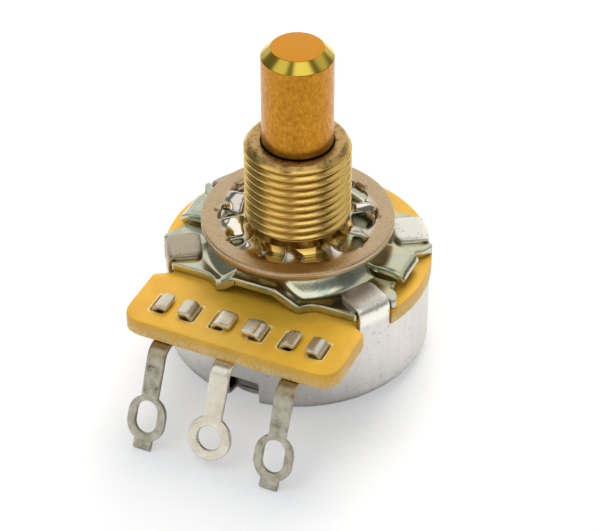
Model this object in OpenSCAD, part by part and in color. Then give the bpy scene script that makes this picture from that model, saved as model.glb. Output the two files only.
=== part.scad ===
// Panel potentiometer: solid shaft, threaded bushing, three solder lugs, folded dust cover.
// Z is the shaft axis and points to the knob, z = 0 is the flat back of the dust cover,
// and the solder lugs point to -Y. All lengths are in millimetres.

/* [Shaft] */
// Diameter of the knob end of the shaft
shaft_d = 6.35; // [6.32:0.01:6.38]
// Reach of the shaft from the mounting face to its tip
shaft_reach = 19.05; // [16:0.05:30]
// Depth of the chamfer at the tip
shaft_chamfer = 0.88; // [0.3:0.02:1.2]
// Radial clearance between the bushing's bore and the shaft's narrower journal
journal_fit = 0.05; // [0.02:0.01:0.1]
// Distance across the two drive flats at the inner end
drive_flats = 3.6; // [3:0.1:4.2]
// Depth of the groove that takes the retaining ring
groove_depth = 0.5; // [0.3:0.05:0.5]

/* [Bushing] */
// Outside diameter of the thread
thread_d = 9.525; // [9.4:0.005:9.6]
// Height of the bushing above the mounting face
bushing_h = 9.525; // [6:0.025:12.7]
// Height of the plain foot and neck under the thread
neck_h = 1.8; // [1.2:0.1:2.4]
// Diameter of the relief neck
neck_d = 8.7; // [8.3:0.1:9]
// Depth of the chamfer at the thread's first turn
thread_chamfer = 0.58; // [0.3:0.02:0.8]
// Diameter of the bore that carries the shaft's journal
bore_d = 6.1; // [6:0.05:6.2]
// Wall of the spigot behind the plate, round the bore
spigot_wall = 0.9; // [0.7:0.05:1.05]

/* [Mounting plate] */
// Thickness of the pressed plate
plate_t = 0.8; // [0.6:0.05:1]
// Height of the raised centre above the ears
plate_rise = 1.75; // [1.5:0.05:2.2]
// Width of the slope from the raised centre down to the folded tabs' ends
boss_slope = 1.9; // [1.6:0.05:2.2]
// Distance of the ears' long edges in from the cover's outside
ear_in = 4.3; // [4:0.05:4.7]
// How far the front and back ribs stand out past the ears' edges
rib_out = 0.95; // [0.6:0.05:1.2]
// Half width of each rib across its foot
rib_foot = 3.8; // [3.4:0.1:4.2]
// Half width of each rib across its crown
rib_crown = 2; // [1.6:0.1:2.4]
// Height of the ribs above the ears
rib_rise = 1.2; // [0.9:0.05:1.4]
// Half width of the lanced straps at the two sides
strap_half_w = 1.75; // [1.4:0.05:2]
// Distance of the straps' ends in from the cover's outside
strap_in = 0.75; // [0.55:0.05:1.2]

/* [Element wafer] */
// Thickness of the phenolic wafer
wafer_t = 1.59; // [1.2:0.01:2]
// How far the wafer stands out past the cover's wall
wafer_lip = 0.15; // [0:0.05:0.3]
// How far the tongue runs out past the wafer's round part
tongue_out = 3.1; // [2.8:0.1:4]
// Width of wafer left beyond the outer lugs
tongue_side = 4.08; // [3.7:0.02:4.4]
// Corner radius at the front of the tongue
tongue_corner = 2; // [1:0.1:3]
// Radial clearance between the wafer and the bushing's spigot
wafer_fit = 0.05; // [0.02:0.01:0.15]
// Thickness of the printed carbon and silver films
film_t = 0.06; // [0.04:0.01:0.1]
// Distance of the carbon track's middle in from the cover's outside
track_in = 3.25; // [3:0.05:3.6]
// Width of the carbon track
track_w = 1.9; // [1.4:0.1:2.2]
// Half of the angle that the track leaves open at the lugs
track_gap = 42; // [38:1:46]

/* [Solder lugs] */
// Spacing of the outer slot pairs from the centre line
lug_pitch = 6.12; // [5.9:0.02:6.3]
// Thickness of the lug metal
lug_t = 0.45; // [0.35:0.05:0.5]
// Width of the outer lugs' strips
lug_w = 1.7; // [1.4:0.05:1.9]
// Width of the middle lug's strip
centre_lug_w = 1.85; // [1.5:0.05:2]
// Length of the outer lugs from the bend to the middle of the eye
lug_run = 5.4; // [4.8:0.1:7]
// Length of the middle lug from the bend to the middle of the eye
centre_lug_run = 5.6; // [4.8:0.1:7]
// Slope of the lugs beyond the wafer's front edge
lug_slope = 66; // [45:1:80]
// Diameter of the round middle eye's hole
eye_hole_d = 2.25; // [1.8:0.05:2.6]
// Diameter of the round middle eye
eye_d = 4.05; // [3.6:0.05:4.4]
// Width of the outer eyes
outer_eye_w = 3.6; // [3.2:0.05:3.9]
// Length of the outer eyes
outer_eye_l = 4.3; // [3.9:0.05:4.6]
// Width of the outer eyes' long holes
slot_eye_w = 2; // [1.6:0.05:2.2]
// Length of the outer eyes' long holes
slot_eye_l = 3; // [2.4:0.05:3.3]

/* [Dust cover] */
// Outside radius of the cover
cover_r = 11.95; // [11.6:0.05:12.2]
// Thickness of the cover's metal
cover_t = 0.5; // [0.35:0.05:0.6]
// Radius of the rounded edge at the back
cover_edge = 0.75; // [0.65:0.05:1]
// Depth of the whole pot behind the mounting face
depth = 11.53; // [11:0.01:14]
// Width of the folded tabs
tab_w = 3.3; // [2.8:0.1:3.6]
// Angle of each tab from the sideways axis
tab_angle = 31; // [29:0.5:33]
// Reach of the folded tabs in from the cover's outside
tab_reach = 3.25; // [2.8:0.05:3.5]
// Width of the lanced stop at the cover's edge
stop_w = 3.1; // [2.6:0.1:3.6]
// Height of the lanced stop and its window
stop_h = 2.6; // [2.2:0.1:3]

/* [Lock washer] */
// Outside diameter of the toothed washer
washer_d = 17.35; // [16.6:0.05:17.8]
// Inside diameter of its ring
washer_ring_d = 14.1; // [13.4:0.1:14.6]
// Thickness of the washer
washer_t = 0.75; // [0.6:0.05:0.9]
// Number of teeth
tooth_count = 10; // [8:1:12]
// Width of a tooth
tooth_w = 1.9; // [1.4:0.1:2.1]
// Twist of a tooth out of the ring's plane
tooth_twist = 40; // [20:1:45]
// Radius that the teeth reach in to
tooth_tip_r = 5.05; // [4.9:0.05:5.4]

/* [Rotor] */
// Turn of the shaft to each side of its middle position
half_turn = 150; // [130:1:150]
// Clearance between the driver's disc and the cover's wall
driver_gap = 2.05; // [1.75:0.05:2.6]
// Thickness of the driver's disc
driver_t = 1.4; // [1:0.1:1.6]
// Radius of the driver's hub
hub_r = 4.2; // [3.6:0.1:4.4]
// Thickness of the contact spring
spring_t = 0.25; // [0.15:0.05:0.3]
// Gap left between the contact fingers and what they wipe
finger_gap = 0.12; // [0.08:0.02:0.2]

/* [Hidden] */
$fn = 96;

// Overlap by which cutters pass through what they cut
cut = 1;
// Overlap by which one length of bent strip runs into the last
seam = 0.01;

// Heights of the stacked sheets, from the mounting face down
mount_z = depth;
ear_z = mount_z - plate_rise;
wafer_top = ear_z - plate_t;
wafer_z = wafer_top - wafer_t;
track_z = wafer_z - film_t;

// Plan sizes that follow the cover
inner_r = cover_r - cover_t;
wafer_r = cover_r + wafer_lip;
tongue_half_w = lug_pitch + tongue_side;
tongue_reach = wafer_r + tongue_out;
track_r = cover_r - track_in;
tab_end_r = cover_r - tab_reach;
strap_reach = cover_r - strap_in;
driver_r = inner_r - driver_gap;
boss_r = tab_end_r - boss_slope;
ear_y = cover_r - ear_in;
rib_y = ear_y + rib_out;

// Shaft
journal_r = bore_d / 2 - journal_fit;
shaft_r = shaft_d / 2;
tip_z = mount_z + shaft_reach;
bushing_top = mount_z + bushing_h;
mouth_depth = 0.85;
spigot_out = 0.4;
spigot_z = wafer_z - spigot_out;
spigot_r = bore_d / 2 + spigot_wall;
plate_hole_r = spigot_r + 0.15;
ring_t = 0.6;
ring_play = 0.1;
ring_z = spigot_z - ring_play - ring_t;
ring_land = 0.3;
shoulder_z = ring_z - ring_land;
groove_r = journal_r - groove_depth;
drive_r = 2.5;
shaft_end_z = 1.5;
end_ease = 0.3;

// Rotor
driver_set_down = 1.25;
driver_top = ring_z - driver_set_down;
driver_z = driver_top - driver_t;
floor_gap = 0.4;
inner_floor = cover_t;
stop_set_in = 1.1;
stop_post_r = inner_r - stop_set_in;
driver_stop_gap = 0.35;
stop_top = min(inner_floor + stop_h, driver_z - driver_stop_gap);
stop_half_angle = asin(stop_w / 2 / (stop_post_r - cover_t));
stop_play = 1;
driver_stop_depth = 1.2;
driver_stop_clear = 0.05;
driver_stop_half = 180 - half_turn - stop_half_angle - stop_play;

// Half of the angle that the silver films leave open, and how far the pads run in under the films
film_gap = 26;
pad_lap = 0.3;

// Collector ring of the middle lug, round the spigot
collector_clear = 0.4;
collector_w = 1.6;
collector_in = spigot_r + collector_clear;
collector_out = collector_in + collector_w;
collector_mid = (collector_in + collector_out) / 2;

// Lugs
lug_x = lug_pitch;
lug_root_w = 2.4;
lug_bend_r = 1.05;
lug_set_back = 0.1;
neck_set_back = 1.6;
prong_set_back = 3;
root_set_back = 5.8;
lug_edge_y = lug_set_back - tongue_reach;
lug_neck_y = neck_set_back - tongue_reach;
lug_root_y = root_set_back - tongue_reach;
prong_y = prong_set_back - tongue_reach;
eye_mid = 2.35;
prong_w = 2;
prong_out = 1.95;
prong_sink = 0.15;
prong_curl_r = 0.3;
prong_turn = 95;
prong_lip = 0.65;
slot_in = 0.78;
slot_out = 2.12;
slot_w = 2.8;
slot_corner = 0.25;
// How much farther apart the middle lug's two prongs stand
centre_spread = 0.45;

// Cover tabs and the notches that clear them
tab_gap = 0.1;
tab_bend = 0.3;
rim_gap_side = 2.28;
rim_gap_half_w = lug_x + rim_gap_side;
rim_gap_below = 0.4;
tab_angles = [tab_angle, 180 - tab_angle, 180 + tab_angle, -tab_angle];

// Flat shape with two round ends, lying along Y
module long_hole(width, length) {
    for (s = [-1, 1])
        translate([0, s * (length - width) / 2])
            circle(d = width);
    square([width, length - width], center = true);
}

// Rectangle from corner to corner with its corners rounded
module rounded_plate(low, high, r) {
    extent = high - low;
    translate(low + [r, 0])
        square([extent.x - 2 * r, extent.y]);
    translate(low + [0, r])
        square([extent.x, extent.y - 2 * r]);
    for (x = [low.x + r, high.x - r], y = [low.y + r, high.y - r])
        translate([x, y])
            circle(r = r);
}

// Ring sector between two angles, as a flat shape
module ring_sector(inner, outer, from, to) {
    steps = 24;
    reach = outer / cos((to - from) / steps / 2) + cut;
    intersection() {
        difference() {
            circle(r = outer);
            circle(r = inner);
        }
        polygon(concat([[0, 0]], [for (i = [0 : steps])
            let (a = from + (to - from) * i / steps) reach * [cos(a), sin(a)]]));
    }
}

// Straight length of sheet strip along +Y with its top at z = 0; children follow its end
module strip(length, width, t) {
    translate([-width / 2, -seam, -t])
        cube([width, length + seam, t]);
    translate([0, length, 0])
        children();
}

// Downward bend of a sheet strip about its inner radius; children follow its end
module strip_bend(inner, angle, width, t) {
    translate([0, 0, -t - inner]) {
        rotate([0, -90, 0])
            rotate_extrude(angle = angle)
                translate([inner, -width / 2])
                    square([t, width]);
        rotate([-angle, 0, 0])
            translate([0, 0, t + inner])
                children();
    }
}

// Upward bend of a sheet strip, the mirror of the downward one
module strip_bend_up(inner, angle, width, t) {
    translate([0, 0, inner]) {
        rotate([0, 90, 0])
            rotate_extrude(angle = angle)
                translate([inner, -width / 2])
                    square([t, width]);
        rotate([angle, 0, 0])
            translate([0, 0, -inner])
                children();
    }
}

// Solid shaft with a turned tip, a narrower journal, a ring groove and two drive flats
module shaft() {
    color("#c8922a")
        difference() {
            rotate_extrude()
                polygon([
                    [0, shaft_end_z], [drive_r - end_ease, shaft_end_z],
                    [drive_r, shaft_end_z + end_ease], [drive_r, shoulder_z],
                    [journal_r, shoulder_z], [journal_r, ring_z],
                    [groove_r, ring_z], [groove_r, ring_z + ring_t],
                    [journal_r, ring_z + ring_t], [journal_r, bushing_top],
                    [shaft_r, bushing_top], [shaft_r, tip_z - shaft_chamfer],
                    [shaft_r - shaft_chamfer, tip_z], [0, tip_z]
                ]);
            for (s = [-1, 1])
                translate([s * (drive_flats / 2 + drive_r), 0, (shaft_end_z + shoulder_z) / 2])
                    cube([2 * drive_r, 4 * drive_r, shoulder_z - shaft_end_z], center = true);
        }
}

// Turned bushing: foot, relief neck, thread at its outside diameter and a spigot behind
module bushing() {
    thread_r = thread_d / 2;
    neck_r = neck_d / 2;
    bore_r = bore_d / 2;
    foot_h = 0.7;
    collar_h = 0.5;
    collar_w = 0.6;
    ease_r = 0.2;
    slope = thread_r - neck_r;
    plate_z = mount_z - plate_t;
    color("#c9a04a")
        rotate_extrude()
            polygon([
                [bore_r, spigot_z], [spigot_r - ease_r, spigot_z], [spigot_r, spigot_z + ease_r],
                [spigot_r, plate_z - collar_h], [spigot_r + collar_w, plate_z - collar_h],
                [spigot_r + collar_w, plate_z], [plate_hole_r, plate_z],
                [plate_hole_r, mount_z], [thread_r, mount_z],
                [thread_r, mount_z + foot_h - slope], [neck_r, mount_z + foot_h],
                [neck_r, mount_z + neck_h - slope], [thread_r, mount_z + neck_h],
                [thread_r, bushing_top - thread_chamfer],
                [thread_r - thread_chamfer, bushing_top],
                [bore_r + mouth_depth, bushing_top], [bore_r, bushing_top - mouth_depth]
            ]);
}

// One tooth, twisted as it runs in from the ring
module washer_tooth(reach) {
    rotate([0, -90, 0])
        linear_extrude(height = reach, twist = -tooth_twist, slices = 8, segments = 8)
            square([washer_t, tooth_w], center = true);
}

// Internal-tooth lock washer that stands on its twisted teeth
module lock_washer() {
    ring_r = washer_ring_d / 2;
    root = 0.3;
    first_tooth = 3;
    rest_gap = 0.02;
    drop = sin(tooth_twist) * tooth_w / 2 + cos(tooth_twist) * washer_t / 2;
    mid_z = mount_z + drop + rest_gap;
    color("#b59b82")
        translate([0, 0, mid_z]) {
            rotate_extrude()
                translate([ring_r, -washer_t / 2])
                    square([washer_d / 2 - ring_r, washer_t]);
            for (i = [0 : tooth_count - 1])
                rotate(first_tooth + 360 / tooth_count * i)
                    translate([ring_r + root, 0, 0])
                        washer_tooth(ring_r + root - tooth_tip_r);
        }
}

// Heights of the pressed plate's top: flat ears, raised centre, ribs and side straps.
// A strap's point is its distance from the axis and its share of the centre's rise.
function ease(s) = (1 + cos(180 * s)) / 2;
boss_steps = 8;
boss_curve = [for (i = [0 : boss_steps])
    [boss_r + boss_slope * i / boss_steps, plate_rise * ease(i / boss_steps)]];
strap_points = [[boss_r - 0.5, 1], [boss_r + 0.2, 0.95], [boss_r + 0.9, 0.7], [boss_r + 1.8, 0.62],
                [strap_reach - 1.4, 0.6], [strap_reach - 0.7, 0.47], [strap_reach - 0.25, 0.28],
                [strap_reach, 0.06]];
strap_curve = [for (p = strap_points) [p.x, plate_rise * p.y]];
strap_lean = 0.12;

// Everything under the pressed surface, as deep as the given base
module under_plate(base) {
    translate([-wafer_r, -ear_y - cut, base])
        cube([2 * wafer_r, 2 * (ear_y + cut), -base]);
    rotate_extrude()
        polygon(concat([[0, base], [0, plate_rise]], boss_curve, [[tab_end_r, base]]));
    rotate([90, 0, 0])
        linear_extrude(height = 2 * (rib_y + cut), center = true)
            polygon([[-rib_foot - cut, base], [-rib_foot - cut, 0], [-rib_foot, 0],
                     [-rib_crown, rib_rise], [rib_crown, rib_rise], [rib_foot, 0],
                     [rib_foot + cut, 0], [rib_foot + cut, base]]);
}

// Outline of the plate without its side straps; the ear's points run from the axis round its hooked end
module plate_outline() {
    scallop = 2.1;
    scallop_x = rib_foot + 2;
    window_x = boss_r + 0.9;
    slit = 0.02;
    relief_r = 0.4;
    waist_x = cover_r - 1.6;
    hook_x = cover_r - 0.55;
    bite_x = cover_r - 2.85;
    ear_points = [[0, 0], [waist_x, 0], [waist_x, 2.2], [waist_x + 0.55, 3.1], [hook_x, 4.2],
                  [hook_x - 0.1, 4.8], [bite_x, ear_y], [0, ear_y]];
    difference() {
        union() {
            square([2 * scallop_x, 2 * rib_y], center = true);
            for (x = [-1, 1], y = [-1, 1])
                scale([x, y])
                    polygon(ear_points);
        }
        for (x = [-1, 1], y = [-1, 1]) {
            translate([x * scallop_x, y * (ear_y + scallop)])
                circle(r = scallop);
            translate([x * (waist_x + 0.15), y * (strap_half_w + relief_r)])
                circle(r = relief_r);
        }
        for (x = [-1, 1])
            translate([x * (window_x + cover_r) / 2, 0])
                square([cover_r - window_x, 2 * (strap_half_w + slit)], center = true);
        for (a = tab_angles)
            rotate(a)
                translate([inner_r - tab_bend, -tab_w / 2 - tab_gap])
                    square([cover_t + tab_bend + cut, tab_w + 2 * tab_gap]);
    }
}

// Pressed steel plate that carries the bushing and is gripped by the cover's tabs
module mounting_plate() {
    color("#9a9c88")
        translate([0, 0, ear_z])
            difference() {
                union() {
                    intersection() {
                        difference() {
                            under_plate(-3 * plate_t);
                            translate([0, 0, -plate_t])
                                under_plate(-3 * plate_t);
                        }
                        translate([0, 0, -2 * plate_t])
                            linear_extrude(height = plate_rise + 4 * plate_t)
                                plate_outline();
                    }
                    for (s = [0, 180])
                        rotate(s)
                            side_strap();
                }
                translate([0, 0, -3 * plate_t])
                    cylinder(r = plate_hole_r, h = plate_rise + 6 * plate_t);
            }
}

// Strap that is lanced free of the ears and arches out from the raised centre
module side_strap() {
    rotate([90, 0, 0])
        linear_extrude(height = 2 * strap_half_w, center = true)
            polygon(concat(strap_curve, [for (i = [len(strap_curve) - 1 : -1 : 0])
                strap_curve[i] - [strap_lean, plate_t]]));
}

// Phenolic wafer with its tongue, slots for the lug prongs and notches for the cover's tabs
module wafer() {
    tongue_back_y = -wafer_r / 3;
    color("#dcae4c")
        difference() {
            translate([0, 0, wafer_z])
                linear_extrude(height = wafer_t)
                    difference() {
                        union() {
                            circle(r = wafer_r);
                            rounded_plate([-tongue_half_w, -tongue_reach], [tongue_half_w, tongue_back_y],
                                          tongue_corner);
                        }
                        for (x = [-lug_x, 0, lug_x])
                            translate([x, prong_y])
                                prong_slots(x == 0 ? centre_spread : 0);
                        for (a = tab_angles)
                            rotate(a)
                                translate([inner_r - tab_gap, -tab_w / 2 - tab_gap])
                                    square([tongue_out, tab_w + 2 * tab_gap]);
                    }
            translate([0, 0, wafer_z - cut])
                cylinder(r = spigot_r + wafer_fit, h = wafer_t + 2 * cut);
        }
}

// Pair of slots that the prongs of one lug pass through, each moved out by the spread
module prong_slots(spread) {
    for (s = [0, 180])
        rotate(s)
            rounded_plate([slot_in + spread, -slot_w / 2], [slot_out + spread, slot_w / 2], slot_corner);
}

// Printed resistive track under the wafer
module carbon_track() {
    color("#26241f")
        translate([0, 0, track_z])
            linear_extrude(height = film_t)
                ring_sector(track_r - track_w / 2, track_r + track_w / 2,
                            -90 + track_gap, 270 - track_gap);
}

// Printed silver film that ends the track and leads on to its lug
module end_film(side) {
    outer = track_r + track_w / 2;
    pad_half_w = 1.7;
    pad_back_y = -outer * cos(track_gap) - pad_lap;
    color("#c9c6bd")
        translate([0, 0, track_z])
            linear_extrude(height = film_t)
                mirror([side < 0 ? 1 : 0, 0])
                    difference() {
                        union() {
                            ring_sector(outer - track_w, outer, film_gap - 90, track_gap - 90);
                            translate([lug_x - pad_half_w, prong_y - slot_w / 2])
                                square([2 * pad_half_w, pad_back_y - prong_y + slot_w / 2]);
                        }
                        translate([lug_x, prong_y])
                            prong_slots(0);
                    }
}

// Flat base of a lug with two prongs that pass the wafer's slots and bend over towards each other
module lug_clinch(top, spread) {
    out = prong_out + spread;
    rise = wafer_top - prong_sink - top + lug_t;
    translate([0, lug_root_y, top])
        rotate([0, 0, 180])
            children();
    translate([-out, prong_y - prong_w / 2, top - lug_t])
        cube([2 * out, prong_w, lug_t]);
    for (s = [0, 180])
        translate([0, prong_y, top - lug_t])
            rotate(s)
                translate([out, 0, 0])
                    rotate([90, 0, 90])
                        strip(rise, prong_w, lug_t)
                            strip_bend(prong_curl_r, prong_turn, prong_w, lug_t)
                                strip(prong_lip + spread, prong_w, lug_t);
}

// Strip that runs out under the wafer, bends down past its edge and ends in the eye
module lug_strip(width, run) {
    strip(lug_root_y - lug_neck_y, lug_root_w, lug_t)
        strip(lug_neck_y - lug_edge_y, width, lug_t)
            strip_bend(lug_bend_r, lug_slope, width, lug_t)
                strip(run - eye_mid, width, lug_t)
                    children();
}

// Eye with a long hole and a small square end that is turned outwards
module long_eye() {
    set_down = 0.15;
    tip_w = 1.7;
    tip_l = 0.35;
    lip_r = 0.1;
    lip_turn = 35;
    lip_l = 0.2;
    outer_mid = eye_mid + set_down;
    translate([0, 0, -lug_t])
        linear_extrude(height = lug_t)
            difference() {
                union() {
                    translate([0, outer_mid])
                        long_hole(outer_eye_w, outer_eye_l);
                    translate([-lug_w / 2, -seam])
                        square([lug_w, eye_mid]);
                    translate([-tip_w / 2, outer_mid])
                        square([tip_w, outer_eye_l / 2 + tip_l]);
                }
                translate([0, eye_mid])
                    long_hole(slot_eye_w, slot_eye_l);
            }
    translate([0, outer_mid + outer_eye_l / 2 + tip_l, 0])
        strip_bend_up(lip_r, lip_turn, tip_w, lug_t)
            strip(lip_l, tip_w, lug_t);
}

// Round eye of the silvered middle lug
module round_eye() {
    translate([0, 0, -lug_t])
        linear_extrude(height = lug_t)
            difference() {
                union() {
                    translate([0, eye_mid])
                        circle(d = eye_d);
                    translate([-centre_lug_w / 2, -seam])
                        square([centre_lug_w, eye_mid]);
                }
                translate([0, eye_mid])
                    circle(d = eye_hole_d);
            }
}

module left_lug() {
    color("#a8a28c")
        translate([-lug_x, 0, 0])
            lug_clinch(track_z, 0)
                lug_strip(lug_w, lug_run)
                    long_eye();
}

module right_lug() {
    color("#a8a28c")
        translate([lug_x, 0, 0])
            lug_clinch(track_z, 0)
                lug_strip(lug_w, lug_run)
                    long_eye();
}

// Middle lug, one stamping with the collector ring round the spigot
module centre_lug() {
    color("#d8d0be") {
        lug_clinch(wafer_z, centre_spread)
            lug_strip(centre_lug_w, centre_lug_run)
                round_eye();
        translate([0, 0, wafer_z - lug_t])
            linear_extrude(height = lug_t) {
                difference() {
                    circle(r = collector_out);
                    circle(r = collector_in);
                }
                translate([-lug_root_w / 2, lug_root_y - seam])
                    square([lug_root_w, -collector_mid - lug_root_y]);
            }
    }
}

// Open ring that snaps into the shaft's groove behind the bushing
module retaining_ring() {
    fit = 0.02;
    width = 1.8;
    mouth = 30;
    color("#8f8f8c")
        translate([0, 0, ring_z + fit])
            linear_extrude(height = ring_t - 2 * fit)
                ring_sector(groove_r + fit, groove_r + width, mouth - 90, 270 - mouth);
}

// Moulded driver with its hub, disc and the stop that meets the cover's lanced stop
module driver() {
    fit = 0.02;
    hub_z = inner_floor + floor_gap;
    stop_in = stop_post_r - cover_t - driver_stop_depth;
    stop_out = stop_post_r - driver_stop_clear;
    color("#e6e0cc")
        difference() {
            union() {
                translate([0, 0, driver_z])
                    cylinder(r = driver_r, h = driver_t);
                translate([0, 0, hub_z])
                    cylinder(r = hub_r, h = shoulder_z - hub_z);
                translate([0, 0, hub_z])
                    linear_extrude(height = driver_z - hub_z + driver_t / 2)
                        ring_sector(stop_in, stop_out, 90 - driver_stop_half, 90 + driver_stop_half);
            }
            translate([0, 0, hub_z - cut])
                linear_extrude(height = ring_z + 2 * cut)
                    intersection() {
                        circle(r = drive_r + fit);
                        square([drive_flats + 2 * fit, 4 * drive_r], center = true);
                    }
        }
}

// Contact spring: a ring round the driver's hub and two fingers that climb to the wafer
module contact_spring() {
    ring_in = hub_r + 0.05;
    ring_w = 2.95;
    foot = 0.3;
    color("#c48a5a")
        translate([0, 0, driver_top]) {
            difference() {
                cylinder(r = ring_in + ring_w, h = spring_t);
                translate([0, 0, -cut])
                    cylinder(r = ring_in, h = spring_t + 2 * cut);
            }
            spring_finger(track_r, track_z, ring_in + foot);
            mirror([0, 1, 0])
                spring_finger(collector_mid, wafer_z - lug_t, ring_in + foot);
        }
}

// One finger that climbs from its foot on the ring to just under the given height
module spring_finger(radius, height, foot_r) {
    climb = 32;
    bend_r = 0.4;
    width = 1.1;
    tip_l = 0.8;
    rise = height - finger_gap - driver_top - spring_t;
    bend_rise = (2 * bend_r + spring_t) * (1 - cos(climb));
    bend_run = (2 * bend_r + spring_t) * sin(climb);
    slope_l = (rise - bend_rise) / sin(climb);
    start_x = -tip_l / 2 - slope_l * cos(climb) - bend_run;
    translate([start_x, radius, spring_t])
        rotate([0, 0, -90])
            strip_bend_up(bend_r, climb, width, spring_t)
                strip(slope_l, width, spring_t)
                    strip_bend(bend_r, climb, width, spring_t)
                        strip(tip_l, width, spring_t);
    translate([start_x - width, foot_r, 0])
        cube([width, radius + width / 2 - foot_r, spring_t]);
}

// Section of the drawn cover: back, wall and the fold that makes the tabs
module cover_section() {
    fold_r = cover_t + tab_bend;
    fold_z = ear_z - tab_bend;
    square([cover_r - cover_edge, cover_t]);
    translate([cover_r - cover_edge, cover_edge])
        intersection() {
            difference() {
                circle(r = cover_edge);
                circle(r = cover_edge - cover_t);
            }
            translate([0, -cover_edge])
                square(cover_edge);
        }
    translate([inner_r, cover_edge])
        square([cover_t, fold_z - cover_edge]);
    translate([cover_r - fold_r, fold_z])
        intersection() {
            difference() {
                circle(r = fold_r);
                circle(r = tab_bend);
            }
            square(fold_r);
        }
    translate([tab_end_r - cut, ear_z])
        square([cover_r - fold_r - tab_end_r + cut, cover_t]);
}

// Outline of one tab seen from above
module tab_outline() {
    corner = 0.8;
    rounded_plate([tab_end_r, -tab_w / 2], [cover_r + 2 * corner, tab_w / 2], corner);
}

// Deep-drawn cover with four folded tabs and a stop lanced in from its back edge
module dust_cover() {
    rim_gap_z = track_z - lug_t - rim_gap_below;
    color("#d0ccc6") {
        difference() {
            rotate_extrude()
                cover_section();
            translate([0, 0, wafer_z])
                linear_extrude(height = mount_z)
                    difference() {
                        circle(r = cover_r + cut);
                        for (a = tab_angles)
                            rotate(a)
                                tab_outline();
                    }
            translate([-rim_gap_half_w, -cover_r - cut, rim_gap_z])
                cube([2 * rim_gap_half_w, cover_r, wafer_z + cut - rim_gap_z]);
            translate([-stop_w / 2, -cover_r - cut, -cut])
                cube([stop_w, cover_r + cut - stop_post_r, stop_h + cut]);
        }
        translate([-stop_w / 2, -stop_post_r, 0])
            cube([stop_w, cover_t, stop_top]);
    }
}

shaft();
bushing();
lock_washer();
mounting_plate();
wafer();
carbon_track();
end_film(-1);  // left_end_film
end_film(1);  // right_end_film
left_lug();
centre_lug();
right_lug();
retaining_ring();
driver();
contact_spring();
dust_cover();
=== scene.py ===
# Panel potentiometer dressed round its CAD frame: turned brass, stamped sheet metal, phenolic board.
# Shapes are worked out in millimetres and go to metres when a mesh is made.
import math

import bmesh
import bpy
import numpy as np
from mathutils import Matrix, Vector
from mathutils.geometry import delaunay_2d_cdt


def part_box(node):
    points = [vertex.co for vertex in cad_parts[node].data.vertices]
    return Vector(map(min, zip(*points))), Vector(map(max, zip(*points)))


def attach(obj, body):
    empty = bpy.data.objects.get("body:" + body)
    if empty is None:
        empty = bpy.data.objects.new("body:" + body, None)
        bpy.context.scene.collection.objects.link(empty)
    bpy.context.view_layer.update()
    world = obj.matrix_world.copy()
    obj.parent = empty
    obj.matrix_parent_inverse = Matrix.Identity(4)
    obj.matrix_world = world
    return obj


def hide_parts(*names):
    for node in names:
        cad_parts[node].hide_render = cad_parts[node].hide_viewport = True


print("loading the frame")
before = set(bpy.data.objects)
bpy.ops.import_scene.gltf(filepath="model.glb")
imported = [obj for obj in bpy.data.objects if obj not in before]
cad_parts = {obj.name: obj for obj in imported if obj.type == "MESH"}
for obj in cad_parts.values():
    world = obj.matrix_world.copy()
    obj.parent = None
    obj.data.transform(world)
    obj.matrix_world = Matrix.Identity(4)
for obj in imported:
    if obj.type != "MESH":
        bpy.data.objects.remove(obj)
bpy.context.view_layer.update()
perMetre = 1000


def boxOf(node):
    low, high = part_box(node)
    return low * perMetre, high * perMetre


# Heights and radii that the CAD frame fixes
mountTop = boxOf("mounting_plate")[1].z
waferBottom, waferTop = (corner.z for corner in boxOf("wafer"))
tongueReach = -boxOf("wafer")[0].y
coverRadius = boxOf("dust_cover")[1].x
coverTop = boxOf("dust_cover")[1].z
threadTop = boxOf("bushing")[1].z
spigotBottom = boxOf("bushing")[0].z
shaftEnd, shaftTip = (corner.z for corner in boxOf("shaft"))
washerMiddle = (boxOf("lock_washer")[0].z + boxOf("lock_washer")[1].z) / 2
washerRadius = boxOf("lock_washer")[1].x

# Thicknesses of the sheets and of the printed films, the lugs' pitch, and where the cover's tabs are folded
plateStock = 0.8
coverStock = 0.5
lugStock = 0.45
filmStock = 0.06
lugPitch = 6.12
tabTurn = 31
tabTurns = [tabTurn, 180 - tabTurn, 180 + tabTurn, 360 - tabTurn]
earTop = waferTop + plateStock
filmBottom = waferBottom - filmStock


# Flat outlines


def placeAt(out, aside, turn=tabTurn):
    # A place so far out in a direction and to its left; the direction is turned so many degrees from +X
    c, s = math.cos(math.radians(turn)), math.sin(math.radians(turn))
    return out * c - aside * s, out * s + aside * c


def arcPoints(centre, radius, start, end, steps):
    angles = [math.radians(start + (end - start) * i / steps) for i in range(steps + 1)]
    return [Vector((centre[0] + radius * math.cos(a), centre[1] + radius * math.sin(a))) for a in angles]


def arcCorners(centre, radius, start, end, steps, first=0, last=0):
    # An arc as corners for roundedLoop, with a rounding only at its ends
    arc = [(q.x, q.y, 0) for q in arcPoints(centre, radius, start, end, steps)]
    return [(*arc[0][:2], first)] + arc[1:-1] + [(*arc[-1][:2], last)]


def roundedLoop(corners, steps=5):
    # Each corner is x, y and the radius that it is rounded to
    nearlyStraight = 1.54  # half of the angle at a corner, in radians
    longestCut = 0.49  # share of a side that one rounding may take
    points = []
    for i, (x, y, radius) in enumerate(corners):
        here = Vector((x, y))
        before = Vector(corners[i - 1][:2]) - here
        after = Vector(corners[(i + 1) % len(corners)][:2]) - here
        half = before.angle(after, math.pi) / 2
        if radius <= 0 or half > nearlyStraight:
            points.append(here)
            continue
        cut = min(radius / math.tan(half), before.length * longestCut, after.length * longestCut)
        start = here + before.normalized() * cut
        end = here + after.normalized() * cut
        for k in range(steps + 1):
            t = k / steps
            points.append(start * (1 - t) ** 2 + here * 2 * t * (1 - t) + end * t ** 2)
    return points


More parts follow.
